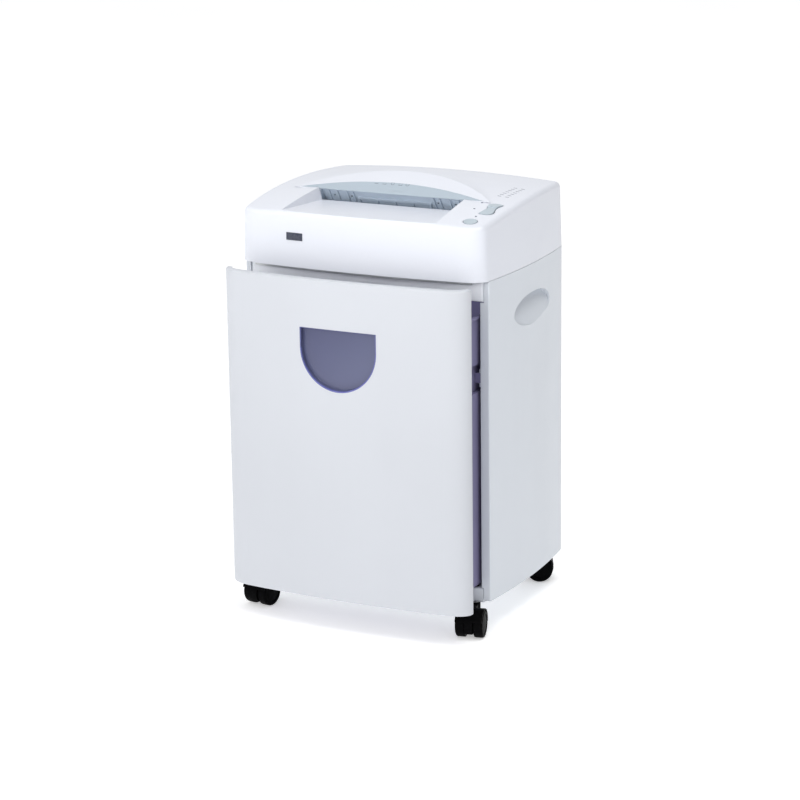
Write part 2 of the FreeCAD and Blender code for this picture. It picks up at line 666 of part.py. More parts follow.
def mech_plate(left):
    z0, z1 = 524.3, 592.0
    if left:
        pts = [(54, z0), (236, z0), (236, 560), (216, z1 + 2), (160, z1 + 2), (150, z1), (62, z1), (54, 584)]
    else:
        pts = [(54, z0), (150, z0), (150, 584), (142, z1), (62, z1), (54, 584)]
    plate = along_x(polygon(pts, 3.0), 0, 0, 0)
    x0 = -PLATE_X1 if left else PLATE_X0
    plate.translate(V(x0, 0, 0))
    parts = [plate]
    # folded foot that stands on the head base
    if left:
        parts.append(box(-PLATE_X1 - 14, -PLATE_X1 + 0.2, 150, 232, z0, z0 + 2.5))
        parts.append(box(-PLATE_X1 - 14, -PLATE_X1 + 0.2, 56, 62, z0, z0 + 2.0))
    else:
        parts.append(box(PLATE_X1 - 0.2, PLATE_X1 + 14, 62, 142, z0, z0 + 2.5))
    s = fuse(parts)
    holes = [(YA, SHAFT_Z, 10.0), (YB, SHAFT_Z, 10.0)]
    for y, z, r in holes:
        s = s.cut(cyl_x(r, y, z, x0 - 1, x0 + 4))
    for y, z in ROD_SPOTS:
        s = s.cut(cyl_x(3.0, y, z, x0 - 1, x0 + 4))
    if left:
        s = s.cut(cyl_x(8.0, MOTOR_Y, MOTOR_Z, x0 - 1, x0 + 4))
        s = s.cut(cyl_x(4.0, RG_Y, RG_Z, x0 - 1, x0 + 4))
        for k in range(3):
            a = math.radians(30 + 120 * k)
            s = s.cut(cyl_x(2.0, MOTOR_Y + 18 * math.cos(a), MOTOR_Z + 18 * math.sin(a), x0 - 1, x0 + 4))
    return s


ROD_SPOTS = [(64.0, 574.0), (140.0, 582.0), (61.0, 529.5), (143.0, 529.5)]
write("mech_plate_left", mech_plate(True))
write("mech_plate_right", mech_plate(False))

rods = []
for y, z in ROD_SPOTS:
    r = cyl_x(3.0, y, z, -128.4, 128.4).fuse(cyl_x(4.5, y, z, -PLATE_X0, PLATE_X0)).removeSplitter()
    rods.append(r)
write("tie_rods", group(rods))


def disc(phase):
    pts = []
    for k in range(8):
        a = phase + 45 * k
        for r, da in ((DISC_R, 0), (DISC_R - 2.0, 4), (DISC_R - 1.6, 17), (DISC_R - 0.6, 37)):
            t = math.radians(a + da)
            pts.append((r * math.cos(t), r * math.sin(t)))
    return polygon(pts, DISC_T)


def cutter(y, shift, turn, end_x):
    core = cyl_x(CORE_R, y, SHAFT_Z, -121.5, 121.5)
    journal = cyl_x(6.0, y, SHAFT_Z, end_x, 130.0)
    discs = []
    for i in range(DISCS):
        x = -DISC_PITCH * (DISCS - 1) / 2 + DISC_PITCH * i + shift - DISC_T / 2
        discs.append(along_x(disc(turn * 7.5 * i), y, SHAFT_Z, x))
    out = core.multiFuse([journal] + discs)
    return out


write("cutter_front", cutter(YA, -DISC_PITCH / 4, 1, -139.0))
write("cutter_rear", cutter(YB, DISC_PITCH / 4, -1, -139.0))


def stripper(sign, y_axis, shift):
    """Comb that lies outside the roller: a bar with one finger in every gap between the discs."""
    yo = y_axis - sign * 25.6
    bar = box(-PLATE_X0, PLATE_X0, *sorted((yo, yo + sign * 3.4)), 534.5, 546.5)
    fingers = []
    for i in range(DISCS - 1):
        x = -DISC_PITCH * (DISCS - 2) / 2 + DISC_PITCH * i + shift
        fingers.append(box(x - 0.75, x + 0.75, *sorted((yo + sign * 2.5, y_axis)), 536.5, 544.5))
    comb = bar.multiFuse(fingers).cut(cyl_x(CORE_R + 0.8, y_axis, SHAFT_Z, -200, 200))
    solids = sorted(comb.Solids, key=lambda q: -q.Volume)
    return solids[0]


write("stripper_front", stripper(1, YA, -DISC_PITCH / 4))
write("stripper_rear", stripper(-1, YB, DISC_PITCH / 4))

bush = []
for x0, x1, f0, f1 in ((-PLATE_X1, -PLATE_X0, -PLATE_X0, -PLATE_X0 + 1.8), (PLATE_X0, PLATE_X1, PLATE_X0 - 1.8,
                                                                            PLATE_X0)):
    for y in (YA, YB):
        b = cyl_x(10.0, y, SHAFT_Z, x0, x1).fuse(cyl_x(12.0, y, SHAFT_Z, f0, f1))
        bush.append(b.cut(cyl_x(6.04, y, SHAFT_Z, -200, 200)).removeSplitter())
write("cutter_bushings", group(bush))

# gear train outside the left plate: motor pinion - reduction gear - rear cutter - front cutter
G2_X0, G2_W = -138.6, 8.0
G1_X0, G1_W = -147.6, 6.0
phase_b = 0.0
phase_a = mate_phase(phase_b, Z_CUT, 180.0, Z_CUT)
phase_s = mate_phase(phase_b, Z_CUT, deg(RG_ANG), Z_SMALL)
phase_big = 0.0
phase_pin = mate_phase(phase_big, Z_BIG, deg(MP_ANG), Z_PIN)


def bored(shape, y, z, r):
    return shape.cut(cyl_x(r, y, z, -200, 0))


g = along_x(gear(Z_CUT, M2, G2_W, phase_b), YB, SHAFT_Z, G2_X0)
write("cutter_gear_rear", bored(g, YB, SHAFT_Z, 6.0))
g = along_x(gear(Z_CUT, M2, G2_W, phase_a), YA, SHAFT_Z, G2_X0)
write("cutter_gear_front", bored(g, YA, SHAFT_Z, 6.0))
g = along_x(gear(Z_SMALL, M2, G2_W + 1.2, phase_s), RG_Y, RG_Z, G2_X0 - 1.2)
big = along_x(gear(Z_BIG, M1, G1_W, phase_big), RG_Y, RG_Z, G1_X0)
for k in range(6):
    a = math.radians(60 * k + 30)
    big = big.cut(cyl_x(6.0, RG_Y + 22 * math.cos(a), RG_Z + 22 * math.sin(a), -200, 0))
hub = cyl_x(7.0, RG_Y, RG_Z, G1_X0, G2_X0)
g = fuse([g, big, hub])
write("reduction_gear", bored(g, RG_Y, RG_Z, 4.04))
axle = cyl_x(4.0, RG_Y, RG_Z, -149.5, -PLATE_X0).fuse(cyl_x(6.5, RG_Y, RG_Z, -PLATE_X1 - 2.8, -PLATE_X1))
axle = axle.fuse(cyl_x(6.0, RG_Y, RG_Z, -150.9, -149.5)).removeSplitter()
write("gear_axle", axle)
g = along_x(gear(Z_PIN, M1, G1_W + 1.4, phase_pin), MOTOR_Y, MOTOR_Z, G1_X0 - 0.7)
write("motor_pinion", bored(g, MOTOR_Y, MOTOR_Z, 4.0))


def motor_housing():
    x0, x1 = -PLATE_X0, -12.0
    s = cyl_x(MOTOR_R, MOTOR_Y, MOTOR_Z, x0 + 8, x1 - 6)
    caps = [cyl_x(MOTOR_R - 3, MOTOR_Y, MOTOR_Z, x0 + 3, x0 + 9), cyl_x(24, MOTOR_Y, MOTOR_Z, x0, x0 + 4),
            cyl_x(MOTOR_R - 3, MOTOR_Y, MOTOR_Z, x1 - 7, x1), cyl_x(9, MOTOR_Y, MOTOR_Z, x1 - 1, x1 + 4)]
    s = fuse([s] + caps)
    s = s.cut(cyl_x(MOTOR_R - 3, MOTOR_Y, MOTOR_Z, x0 + 12, x1 - 10))
    s = s.cut(cyl_x(4.04, MOTOR_Y, MOTOR_Z, x0 - 5, x1 + 20))
    for k in range(10):
        a = 36 * k
        slot = box(x1 - 30, x1 - 12, MOTOR_Y - 2, MOTOR_Y + 2, MOTOR_Z + MOTOR_R - 5, MOTOR_Z + MOTOR_R + 4)
        slot.rotate(V(0, MOTOR_Y, MOTOR_Z), V(1, 0, 0), a)
        s = s.cut(slot)
    foot = box(-95, -35, MOTOR_Y - 12, MOTOR_Y + 12, 524.3, MOTOR_Z - MOTOR_R + 3)
    foot = foot.cut(cyl_x(MOTOR_R - 1, MOTOR_Y, MOTOR_Z, -200, 0)).cut(
        box(-90, -40, MOTOR_Y - 9, MOTOR_Y + 9, 520, MOTOR_Z - MOTOR_R - 1.5))
    return fuse([s, foot])


def motor_shaft():
    x1 = -12.0
    s = cyl_x(4.0, MOTOR_Y, MOTOR_Z, -148.6, x1 + 16)
    rotor = cyl_x(20.0, MOTOR_Y, MOTOR_Z, -105, -35)
    fan_hub = cyl_x(8.0, MOTOR_Y, MOTOR_Z, x1 + 5, x1 + 15)
    blades = []
    for k in range(9):
        b = box(x1 + 6, x1 + 14, MOTOR_Y - 0.8, MOTOR_Y + 0.8, MOTOR_Z + 5, MOTOR_Z + 25)
        b.rotate(V(x1 + 10, MOTOR_Y, MOTOR_Z), V(0, 0, 1), 24)
        b.rotate(V(0, MOTOR_Y, MOTOR_Z), V(1, 0, 0), 40 * k)
        blades.append(b)
    return fuse([s, rotor, fan_hub] + blades)


write("motor_housing", motor_housing())
write("motor_shaft", motor_shaft())

cap = cyl_x(15, 212, 541.0, 28, 84)
cap = soften(cap, 2.0, lambda e: True)
clip = box(46, 62, 196, 228, 524.3, 530).cut(cyl_x(15.0, 212, 541.0, 0, 100))
cap = fuse([cap, clip, cyl_x(3.0, 207, 541, 20, 30), cyl_x(3.0, 217, 541, 20, 30)])
write("start_capacitor", cap)

eye_a = box(-8, 8, 107.2, 115, 584, 594)
eye_a = eye_a.cut(box(-9, 9, 100, 108.2, 580, 600))
eye_a = box(-8, 8, 102.8, 112.5, 582, 592)
eye_b = box(-8, 8, 78.0, 88.6, 582, 592)
guide_r, guide_f = throat_rear_guide(), throat_front_guide()
eye_a = sorted(eye_a.cut(guide_r).Solids, key=lambda q: -q.Volume)[0]
eye_b = sorted(eye_b.cut(guide_f).Solids, key=lambda q: -q.Volume)[0]
write("paper_sensors", group([eye_a, eye_b]))

# ---------------------------------------------------------------- drawer
DRAWER = V(0, -AJAR, 0)


def window_tool(t):
    """D-shaped pocket: flat top, round bottom, its walls closing in towards the floor."""
    def wire(inset, y):
        h = WIN_HALF - inset
        zt = WIN_TOP - inset * 0.5
        e = [Part.makeLine(V(-h, y, zt), V(h, y, zt)), Part.makeLine(V(h, y, zt), V(h, y, WIN_MID)),
             Part.Arc(V(h, y, WIN_MID), V(0, y, WIN_MID - h), V(-h, y, WIN_MID)).toShape(),
             Part.makeLine(V(-h, y, WIN_MID), V(-h, y, zt))]
        return Part.Wire(e)
    floor = WIN_FLOOR + t
    k = 1.5 / (WIN_FLOOR + BOW)
    return Part.makeLoft([wire(k * (-45.0 + BOW) - t, -45.0), wire(k * (floor + BOW) - t, floor)], True, True)


def drawer_front():
    z0, z1 = 46.3, 520.6
    inset, wall = 0.6, 3.0
    s = prism(inset, z0, z1)
    s = s.common(box(-230, 230, -60, -0.4, z0, z1))
    s = soften(s, 3.0, lambda e: (e.BoundBox.ZLength < 0.1 and e.BoundBox.YMin < -1
               and e.BoundBox.YMin < -5))
    hollow = prism(inset + wall, z0 + wall, z1 - wall).common(box(-230, 230, -60, 1, z0, z1))
    mouth = prism(inset + wall + 6, z0 - 1, z1 + 1).common(box(-230, 230, -60, 1, z0 - 1, z1 + 1))
    s = s.cut(hollow).cut(mouth)
    ribs = []
    deep = prism(inset + 0.5, z0 + 1, z1 - 1).common(box(-230, 230, -60, -3, z0, z1))
    body = deep.cut(prism(inset + wall + 3.0, z0, z1))
    for z in (110, 230, 340, 476):
        ribs.append(box(-172, 172, -60, -3, z, z + 2.4).common(body))
    for x in (-150, -75, 75, 150):
        ribs.append(box(x - 1.2, x + 1.2, -60, -3, 112, 340).common(body))
    ribs.append(box(138, 162, -60, -7, 494, 508).common(deep).cut(box(140.4, 159.6, -60, -9.4, 496.4, 505.6)))
    s = fuse([s] + ribs)
    return s.cut(window_tool(1.8))


def drawer_window():
    s = window_tool(1.8).cut(window_tool(0.0)).common(prism(0.5, 300, 500))
    return s


def waste_bin():
    r = 16.0
    def rbox(x, y0, y1, z0, z1, rr):
        b = box(-x, x, y0, y1, z0, z1)
        return b.makeFillet(rr, [e for e in b.Edges if e.BoundBox.ZLength > (z1 - z0) * 0.9])
    outer = rbox(BIN_HALF, BIN_Y0, BIN_Y1, BIN_Z0, BIN_Z1, r)
    outer = soften(outer, 6.0, lambda e: e.BoundBox.ZMax < BIN_Z0 + 0.1)
    rim = rbox(BIN_HALF + 2.2, BIN_Y0, BIN_Y1 + 2.2, BIN_Z1 - 5, BIN_Z1, r + 1)
    rim = soften(rim, 1.4, lambda e: e.BoundBox.ZLength < 0.1)
    bands = []
    for sx in (-1, 1):
        bands.append(box(*sorted((sx * (BIN_HALF - 6), sx * (BIN_HALF + 5))), BIN_Y0 - 1, BIN_Y1 + 5, 359, 400))
    inner = rbox(BIN_HALF - 2.2, BIN_Y0 + 2.2, BIN_Y1 - 2.2, BIN_Z0 + 2.2, BIN_Z1 + 1, r - 2)
    for sx in (-1, 1):
        inner = inner.cut(box(*sorted((sx * (BIN_HALF - 8.2), sx * (BIN_HALF + 5))), BIN_Y0 - 1, BIN_Y1 + 5,
                              356.8, 402.2))
    s = outer.fuse(rim).removeSplitter()
    for b in bands:
        s = s.cut(b)
    return s.cut(inner)


for name, shape in (("drawer_front", drawer_front()), ("drawer_window", drawer_window()),
                    ("waste_bin", waste_bin())):
    shape.translate(DRAWER)
    write(name, shape)

RUN_Z0, RUN_Z1 = 372.0, 386.0
runner = box(BIN_HALF - 6, 181.2, 60, 232, RUN_Z0, RUN_Z1)
runner = soften(runner, 1.0, lambda e: e.BoundBox.YLength > 100 and e.BoundBox.XMin > 180)
runner.translate(DRAWER)
write("drawer_runner_right", runner)
write("drawer_runner_left", mirror(runner))
rail = box(178.6, 215, 6, 250, RUN_Z0 - 6, RUN_Z1 + 6).common(prism(SKIN, 300, 450))
rail = rail.cut(box(170, 181.6, 0, 247, RUN_Z0 - 0.1, RUN_Z1 + 0.1))
rail = rail.cut(box(186, 230, 0, 300, RUN_Z0 - 3, RUN_Z1 + 3).common(
    box(186, 230, 20, 50, 300, 450).fuse(box(186, 230, 64, 108, 300, 450)).fuse(
        box(186, 230, 122, 165, 300, 450)).fuse(box(186, 230, 180, 218, 300, 450))))
write("cabinet_rail_right", rail)
write("cabinet_rail_left", mirror(rail))

switch = box(141, 159, 3.1, 9.5, 497, 505).fuse(box(136, 164, 3.1, 4.6, 498, 504))
write("drawer_switch", switch.removeSplitter())
magnet = box(142, 158, -7.0, -2.4, 496.8, 505.2)
magnet = soften(magnet, 0.8, lambda e: e.BoundBox.YMax > -2.5)
magnet.translate(DRAWER)
write("drawer_magnet", magnet)


# ---------------------------------------------------------------- fasteners
def pan_screw(length, d):
    s = cyl_z(d / 2, 0, 0, 0, length)
    head = Part.makeCylinder(d * 0.95, 2.2, V(0, 0, -2.2))
    head = soften(head, 0.9, lambda e: e.BoundBox.ZMin < -2.1 and e.BoundBox.ZMax < -2.0)
    cross = box(-d * 0.55, d * 0.55, -0.4, 0.4, -2.3, -1.0).fuse(box(-0.4, 0.4, -d * 0.55, d * 0.55, -2.3, -1.0))
    return fuse([s, head]).cut(cross)


def turned(shape, axis, angle, pos):
    s = shape.copy()
    s.Placement = FreeCAD.Placement(pos, FreeCAD.Rotation(axis, angle))
    return s


write("cabinet_screws", group([turned(pan_screw(10, 4.0), V(1, 0, 0), 90, V(x, DEPTH, z)) for x, z in screw_spots]))
write("head_screws", group([turned(pan_screw(20, 2.8), V(1, 0, 0), 0, V(x, y, 521.3)) for x, y in HEAD_SCREWS]))


# ---------------------------------------------------------------- castors
def castor_local():
    """Twin-wheel castor about its own stem; the axle lies at +X, parallel to Y."""
    ax = TRAIL
    web = cyl_y(WHEEL_R + 1.6, ax, WHEEL_R, -6.0, 6.0)
    web = web.cut(box(-60, 80, -7, 7, -5, 9.0))
    shell = cyl_y(WHEEL_R + 2.6, ax, WHEEL_R, -20.0, 20.0).cut(cyl_y(WHEEL_R + 0.9, ax, WHEEL_R, -21, 21))
    pts = [V(ax, -30, WHEEL_R), V(ax - 60, -30, WHEEL_R - 6), V(ax - 60, -30, 60), V(ax + 60, -30, 60),
           V(ax + 60, -30, WHEEL_R + 22)]
    sector = Part.Face(Part.makePolygon(pts + [pts[0]])).extrude(V(0, 60, 0))
    shell = shell.common(sector)
    shell = shell.common(box(-60, 60, -20, 20, 0, 43.2))
    collar = cyl_z(8.0, 0, 0, 24.0, 43.6)
    collar = collar.cut(cyl_y(WHEEL_R + 1.2, ax, WHEEL_R, -30, 30)).fuse(cyl_z(6.0, 0, 0, 24, 43.6).cut(
        cyl_y(WHEEL_R + 0.2, ax, WHEEL_R, -30, 30)))
    neck = box(-7, ax - 6, -6, 6, 24, 42.5).cut(cyl_y(WHEEL_R - 1, ax, WHEEL_R, -30, 30))
    s = fuse([web, shell, collar, neck, cyl_y(3.5, ax, WHEEL_R, -18.5, 18.5)])
    s = s.cut(cyl_z(STEM_R + 0.05, 0, 0, 22, 50))
    solids = sorted(s.Solids, key=lambda q: -q.Volume)
    return solids[0]


def castor_wheel(side):
    y0, y1 = (6.6, 20.6)
    w = cyl_y(WHEEL_R, 0, 0, y0, y1)
    w = soften(w, 3.2, lambda e: e.BoundBox.YMin > y1 - 0.1)
    w = soften(w, 1.2, lambda e: e.BoundBox.YMax < y0 + 0.1 and e.BoundBox.XLength > 30)
    w = w.cut(cyl_y(14.5, 0, 0, y1 - 1.0, y1 + 2)).fuse(
        cyl_y(14.5, 0, 0, y1 - 1.2, y1).common(Part.makeSphere(120, V(0, y1 - 120, 0)))).removeSplitter()
    w = w.cut(cyl_y(3.55, 0, 0, 0, y1 - 1.8))
    w = w.cut(cyl_y(15.5, 0, 0, y0 - 1, y0 + 5).cut(cyl_y(6.0, 0, 0, y0 - 1, y0 + 6)))
    if side < 0:
        w = w.mirror(V(0, 0, 0), V(0, 1, 0))
    w.translate(V(TRAIL, 0, WHEEL_R))
    return w


stems, sockets = [], []
local = castor_local()
wheels = {"a": castor_wheel(1), "b": castor_wheel(-1)}
for name, (x, y, ang) in CASTORS.items():
    pl = FreeCAD.Placement(V(x, y, 0), FreeCAD.Rotation(V(0, 0, 1), ang))
    write("castor_" + name + "_housing", placed(local, pl))
    for k, w in wheels.items():
        write("castor_" + name + "_wheel_" + k, placed(w, pl))
    under = 46.0 if y < 50 else 50.0
    st = cyl_z(STEM_R, x, y, 26.0, 66.0).fuse(cyl_z(5.5, x, y, 43.8, under)).removeSplitter()
    stems.append(st)
    so = cyl_z(5.6, x, y, under, 68.0).cut(cyl_z(STEM_R, x, y, 40, 66.5))
    sockets.append(so)
write("castor_stems", group(stems))
write("castor_sockets", group(sockets))
print("nodes", len(os.listdir("parts")))
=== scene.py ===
import json
import math

import bmesh
import bpy
from mathutils import Matrix, Vector
from mathutils.bvhtree import BVHTree


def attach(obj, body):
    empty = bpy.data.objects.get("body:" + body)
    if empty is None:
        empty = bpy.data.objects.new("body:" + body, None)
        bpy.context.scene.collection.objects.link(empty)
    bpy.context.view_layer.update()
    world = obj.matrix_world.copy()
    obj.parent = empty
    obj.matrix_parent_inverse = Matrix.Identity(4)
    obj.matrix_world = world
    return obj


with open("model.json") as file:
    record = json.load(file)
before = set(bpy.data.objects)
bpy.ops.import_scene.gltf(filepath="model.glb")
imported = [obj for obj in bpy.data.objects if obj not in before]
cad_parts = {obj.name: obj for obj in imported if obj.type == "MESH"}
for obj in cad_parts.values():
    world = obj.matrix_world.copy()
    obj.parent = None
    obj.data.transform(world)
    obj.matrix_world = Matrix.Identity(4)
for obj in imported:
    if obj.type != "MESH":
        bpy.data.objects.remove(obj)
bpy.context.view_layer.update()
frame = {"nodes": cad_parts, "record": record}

nodes = frame["nodes"]


# ------------------------------------------------------------------ materials
class Tree:
    """Small helper that adds nodes to one material and links them."""

    def __init__(self, name):
        self.mat = bpy.data.materials.new(name)
        self.mat.use_nodes = True
        self.nt = self.mat.node_tree
        self.nt.nodes.clear()
        self.out = self.nt.nodes.new("ShaderNodeOutputMaterial")
        self.bsdf = self.nt.nodes.new("ShaderNodeBsdfPrincipled")
        self.link(self.bsdf.outputs[0], self.out.inputs["Surface"])
        self.coord = self.nt.nodes.new("ShaderNodeTexCoord").outputs["Object"]

    def link(self, a, b):
        self.nt.links.new(a, b)

    def noise(self, scale, detail=2.0, rough=0.5, stretch=None):
        n = self.nt.nodes.new("ShaderNodeTexNoise")
        n.inputs["Scale"].default_value = scale
        n.inputs["Detail"].default_value = detail
        n.inputs["Roughness"].default_value = rough
        src = self.coord
        if stretch:
            m = self.nt.nodes.new("ShaderNodeMapping")
            m.inputs["Scale"].default_value = stretch
            self.link(src, m.inputs["Vector"])
            src = m.outputs[0]
        self.link(src, n.inputs["Vector"])
        return n.outputs["Fac"]

    def voronoi(self, scale):
        n = self.nt.nodes.new("ShaderNodeTexVoronoi")
        n.inputs["Scale"].default_value = scale
        self.link(self.coord, n.inputs["Vector"])
        return n.outputs["Distance"]

    def span(self, src, lo, hi, a=0.0, b=1.0):
        n = self.nt.nodes.new("ShaderNodeMapRange")
        n.inputs["From Min"].default_value = lo
        n.inputs["From Max"].default_value = hi
        n.inputs["To Min"].default_value = a
        n.inputs["To Max"].default_value = b
        self.link(src, n.inputs["Value"])
        return n.outputs[0]

    def mix(self, fac, a, b):
        n = self.nt.nodes.new("ShaderNodeMix")
        n.data_type = "RGBA"
        self.link(fac, n.inputs[0])
        for sock, v in ((n.inputs[6], a), (n.inputs[7], b)):
            if isinstance(v, tuple):
                sock.default_value = (*v, 1.0)
            else:
                self.link(v, sock)
        return n.outputs[2]

    def math(self, op, a, b):
        n = self.nt.nodes.new("ShaderNodeMath")
        n.operation = op
        for sock, v in ((n.inputs[0], a), (n.inputs[1], b)):
            if isinstance(v, (int, float)):
                sock.default_value = v
            else:
                self.link(v, sock)
        return n.outputs[0]

    def edges(self, lo=0.52, hi=0.62):
        g = self.nt.nodes.new("ShaderNodeNewGeometry")
        return self.span(g.outputs["Pointiness"], lo, hi)

    def bump(self, height, strength, distance, soft=0.0):
        n = self.nt.nodes.new("ShaderNodeBump")
        n.inputs["Strength"].default_value = strength
        n.inputs["Distance"].default_value = distance
        self.link(height, n.inputs["Height"])
        if soft:
            b = self.nt.nodes.new("ShaderNodeBevel")
            b.samples = 4
            b.inputs["Radius"].default_value = soft
            self.link(b.outputs[0], n.inputs["Normal"])
        self.link(n.outputs[0], self.bsdf.inputs["Normal"])


def lin(r, g, b):
    """sRGB 0-255 to linear."""
    def f(c):
        c /= 255.0
        return c / 12.92 if c <= 0.04045 else ((c + 0.055) / 1.055) ** 2.4
    return (f(r), f(g), f(b))


def shade(c, k):
    return tuple(min(1.0, v * k) for v in c)


def plastic(name, colour, rough=0.38, grain=1400.0, depth=0.05, spread=0.02, soft=0.0006, spec=0.5, edge=1.03):
    """Moulded plastic: fine spark-eroded grain, slight cloudiness in colour and gloss, paler rubbed edges."""
    t = Tree(name)
    cloud = t.noise(6.0, 3.0)
    speck = t.noise(420.0, 1.0)
    base = t.mix(t.span(cloud, 0.35, 0.65), shade(colour, 1.0 - spread), shade(colour, 1.0 + spread * 0.5))
    base = t.mix(t.span(speck, 0.45, 0.75, 0.0, 0.25), base, shade(colour, 1.0 - spread * 1.6))
    base = t.mix(t.math("MULTIPLY", t.edges(), 0.6), base, shade(colour, edge))
    t.link(base, t.bsdf.inputs["Base Color"])
    r = t.math("ADD", t.span(t.noise(30.0, 3.0), 0.3, 0.7, rough - 0.04, rough + 0.05),
               t.span(t.noise(700.0, 1.0), 0.3, 0.7, -0.02, 0.02))
    t.link(r, t.bsdf.inputs["Roughness"])
    t.bsdf.inputs["Specular IOR Level"].default_value = spec
    t.bump(t.math("ADD", t.noise(grain, 2.0, 0.6), t.math("MULTIPLY", t.noise(grain * 0.35, 1.0), 0.6)),
           depth, 0.0003, soft)
    return t.mat


def metal(name, colour, rough=0.32, stretch=(1, 60, 60), scale=30.0, depth=0.08, soft=0.0004):
    """Brushed or ground metal: streaks along one direction in colour, gloss and height."""
    t = Tree(name)
    streak = t.noise(scale, 4.0, 0.6, stretch)
    blot = t.noise(14.0, 3.0)
    base = t.mix(t.span(streak, 0.3, 0.7), shade(colour, 0.86), shade(colour, 1.08))
    base = t.mix(t.span(blot, 0.5, 0.8, 0.0, 0.35), base, shade(colour, 0.75))
    t.link(base, t.bsdf.inputs["Base Color"])
    t.bsdf.inputs["Metallic"].default_value = 1.0
    t.link(t.math("ADD", t.span(streak, 0.3, 0.7, rough - 0.06, rough + 0.08), t.span(blot, 0.4, 0.8, 0.0, 0.1)),
           t.bsdf.inputs["Roughness"])
    t.bump(streak, depth, 0.0002, soft)
    return t.mat


# white plastic of the cabinet, set a little darker as painted shade for the side panels
WHITE_PAINTED_SHADE = lin(209, 214, 221)
M = {}
M["white_abs"] = plastic("white_abs", WHITE_PAINTED_SHADE, 0.36, 1500, 0.04, 0.012)
# lighter copy of the white plastic: painted light on the head cover and feed hood
M["head_white_painted_light"] = plastic("head_white_painted_light", lin(221, 224, 232), 0.34, 1500, 0.035, 0.012)
# darker copy of the white plastic: painted shade on the drawer front
M["drawer_white_painted_shade"] = plastic("drawer_white_painted_shade", lin(197, 200, 206), 0.38, 1500, 0.04, 0.012)
M["grey_abs"] = plastic("grey_abs", lin(186, 198, 208), 0.42, 1100, 0.07, 0.03)
# darker copy of the grey plastic: painted shade on the hood fascia
M["fascia_grey_painted_shade"] = plastic("fascia_grey_painted_shade", lin(168, 180, 190), 0.40, 1100, 0.06, 0.02)
# slightly darker copy of the grey plastic: painted shade in the throat under the hood
M["throat_grey_painted_shade"] = plastic("throat_grey_painted_shade", lin(181, 193, 206), 0.44, 1100, 0.07, 0.03)
# much lighter copy of the white plastic: painted light that offsets the shade in the gap on the front top rail
M["rail_white_painted_light"] = plastic("rail_white_painted_light", lin(238, 241, 247), 0.36, 1500, 0.035, 0.012)
M["key_grey"] = plastic("key_grey", lin(180, 192, 200), 0.33, 1300, 0.05, 0.03)
M["bin_violet"] = plastic("bin_violet", lin(126, 122, 156), 0.45, 900, 0.12, 0.06)
M["castor_black"] = plastic("castor_black", lin(8, 8, 9), 0.42, 1200, 0.05, 0.15, spec=0.02)
M["wheel_black"] = plastic("wheel_black", lin(8, 8, 9), 0.42, 1000, 0.06, 0.15, spec=0.02)
M["gear_nylon"] = plastic("gear_nylon", lin(225, 221, 205), 0.42, 800, 0.06, 0.04)
M["black_plastic"] = plastic("black_plastic", lin(34, 35, 37), 0.42, 1000, 0.1, 0.12)
M["motor_paint"] = plastic("motor_paint", lin(40, 41, 44), 0.35, 500, 0.12, 0.15)
M["steel"] = metal("steel", (0.55, 0.56, 0.58))
M["cutter_steel"] = metal("cutter_steel", (0.36, 0.36, 0.38), 0.28, (60, 1, 1), 20)
M["bronze"] = metal("bronze", (0.55, 0.38, 0.18), 0.4, (20, 20, 20), 40)
M["capacitor_alu"] = metal("capacitor_alu", (0.72, 0.73, 0.75), 0.3, (1, 50, 50))


def window_material():
    t = Tree("window_violet")
    cloud = t.noise(9.0, 3.0)
    pts = [v.co for v in nodes["drawer_window"].data.vertices]
    sep = t.nt.nodes.new("ShaderNodeSeparateXYZ")
    t.link(t.coord, sep.inputs[0])
    across = t.span(sep.outputs["X"], min(p.x for p in pts), max(p.x for p in pts), 0.0, 0.5)
    down = t.span(sep.outputs["Z"], max(p.z for p in pts), min(p.z for p in pts), 0.0, 0.5)
    # painted shade: the window colour darkens towards the top left and lightens towards the bottom right
    painted_shade_fade = t.math("ADD", across, down)
    base = t.mix(painted_shade_fade, lin(84, 88, 126), lin(118, 123, 156))
    base = t.mix(t.span(cloud, 0.35, 0.65, 0.0, 0.25), base, lin(108, 110, 150))
    # painted highlight: paler, bluer rims on the window's sharp edges
    base = t.mix(t.edges(0.5, 0.6), base, lin(122, 126, 205))
    t.link(base, t.bsdf.inputs["Base Color"])
    t.link(t.span(t.noise(60.0, 2.0), 0.3, 0.7, 0.14, 0.22), t.bsdf.inputs["Roughness"])
    t.bsdf.inputs["IOR"].default_value = 1.49
    t.bsdf.inputs["Transmission Weight"].default_value = 0.35
    t.bump(t.noise(300.0, 2.0), 0.03, 0.0003, 0.0008)
    return t.mat


def board_material():
    t = Tree("board_green")
    tracks = t.voronoi(260.0)
    base = t.mix(t.span(tracks, 0.2, 0.35), lin(26, 92, 52), lin(14, 62, 34))
    t.link(base, t.bsdf.inputs["Base Color"])
    t.link(t.span(t.noise(80.0), 0.3, 0.7, 0.25, 0.4), t.bsdf.inputs["Roughness"])
    t.bump(tracks, 0.1, 0.0002)
    return t.mat


M["window_violet"] = window_material()
M["board_green"] = board_material()
M["lens"] = plastic("lens", lin(96, 108, 124), 0.15, 600, 0.02, 0.05)
M["badge_dark"] = plastic("badge_dark", lin(58, 62, 78), 0.28, 900, 0.03, 0.05)

